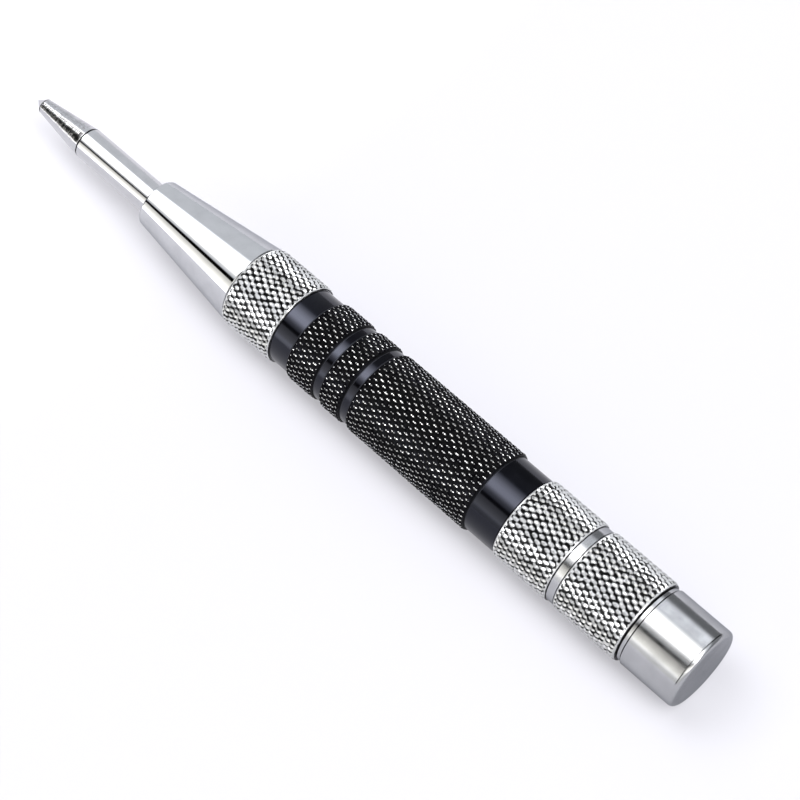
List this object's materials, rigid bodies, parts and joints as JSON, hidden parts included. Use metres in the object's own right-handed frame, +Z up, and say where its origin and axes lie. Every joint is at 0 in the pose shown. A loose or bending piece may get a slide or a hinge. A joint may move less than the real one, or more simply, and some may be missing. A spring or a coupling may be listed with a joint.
{
  "type": "automatic centre punch",
  "caption": "Spring-loaded automatic centre punch with a slim hardened point, tapered nose cone, knurled black body and a knurled screw cap that sets the striking force.",
  "frame": {"origin": "middle of the tool's length, on the surface it lies on, straight under its axis", "axes": "+X along the tool from the point to the adjusting cap, +Z up from the surface it lies on"},
  "size_m": [0.1304, 0.0132, 0.0132],
  "materials": {
    "hardened_steel": "hardened tool steel, polished shank with coarse grinding marks on the taper",
    "bright_plate": "bright nickel-chrome plate, mirror polished on the cone, diamond knurl on the collar",
    "satin_plate": "satin nickel plate with fine turning marks",
    "black_oxide": "oiled black oxide on steel, semi-gloss, slightly rubbed on the knurl crests",
    "plain_steel": "turned steel, lightly oiled",
    "spring_steel": "drawn spring wire, dark and oiled"
  },
  "bodies": {
    "barrel": {"nose_cone": "bright_plate", "body_tube": "black_oxide", "return_spring": "spring_steel"},
    "point": {"punch_point": "hardened_steel"},
    "rod": {"push_rod": "plain_steel"},
    "hammer": {"hammer": "plain_steel"},
    "seat": {"spring_seat": "plain_steel", "main_spring": "spring_steel"},
    "cap": {"adjusting_cap": "satin_plate"}
  },
  "joints": [
    {"name": "point_slide", "type": "slide", "parent": "barrel", "child": "point", "axis": [1, 0, 0], "range_m": [0, 0.011], "stiffness_N_per_m": 150, "springref_m": -0.002, "deforming": ["return_spring"]},
    {"name": "rod_tilt", "type": "hinge", "parent": "point", "child": "rod", "pos_m": [-0.0233, 0, 0.0066], "axis": [0, -1, 0], "range_deg": [0, 2]},
    {"name": "hammer_slide", "type": "slide", "parent": "barrel", "child": "hammer", "axis": [1, 0, 0], "range_m": [0, 0.011], "deforming": ["main_spring"]},
    {"name": "cap_travel", "type": "slide", "parent": "barrel", "child": "seat", "axis": [1, 0, 0], "range_m": [0, 0.006]},
    {"name": "cap_turn", "type": "hinge", "parent": "seat", "child": "cap", "pos_m": [0.0652, 0, 0.0066], "axis": [1, 0, 0], "range_deg": [0, 2160]}
  ],
  "couplings": [
    {"joint": "rod_tilt", "follows": "point_slide", "rad_per_m": 3.173},
    {"joint": "hammer_slide", "follows": "point_slide", "ratio": 1},
    {"joint": "cap_turn", "follows": "cap_travel", "rad_per_m": 6283.2}
  ]
}
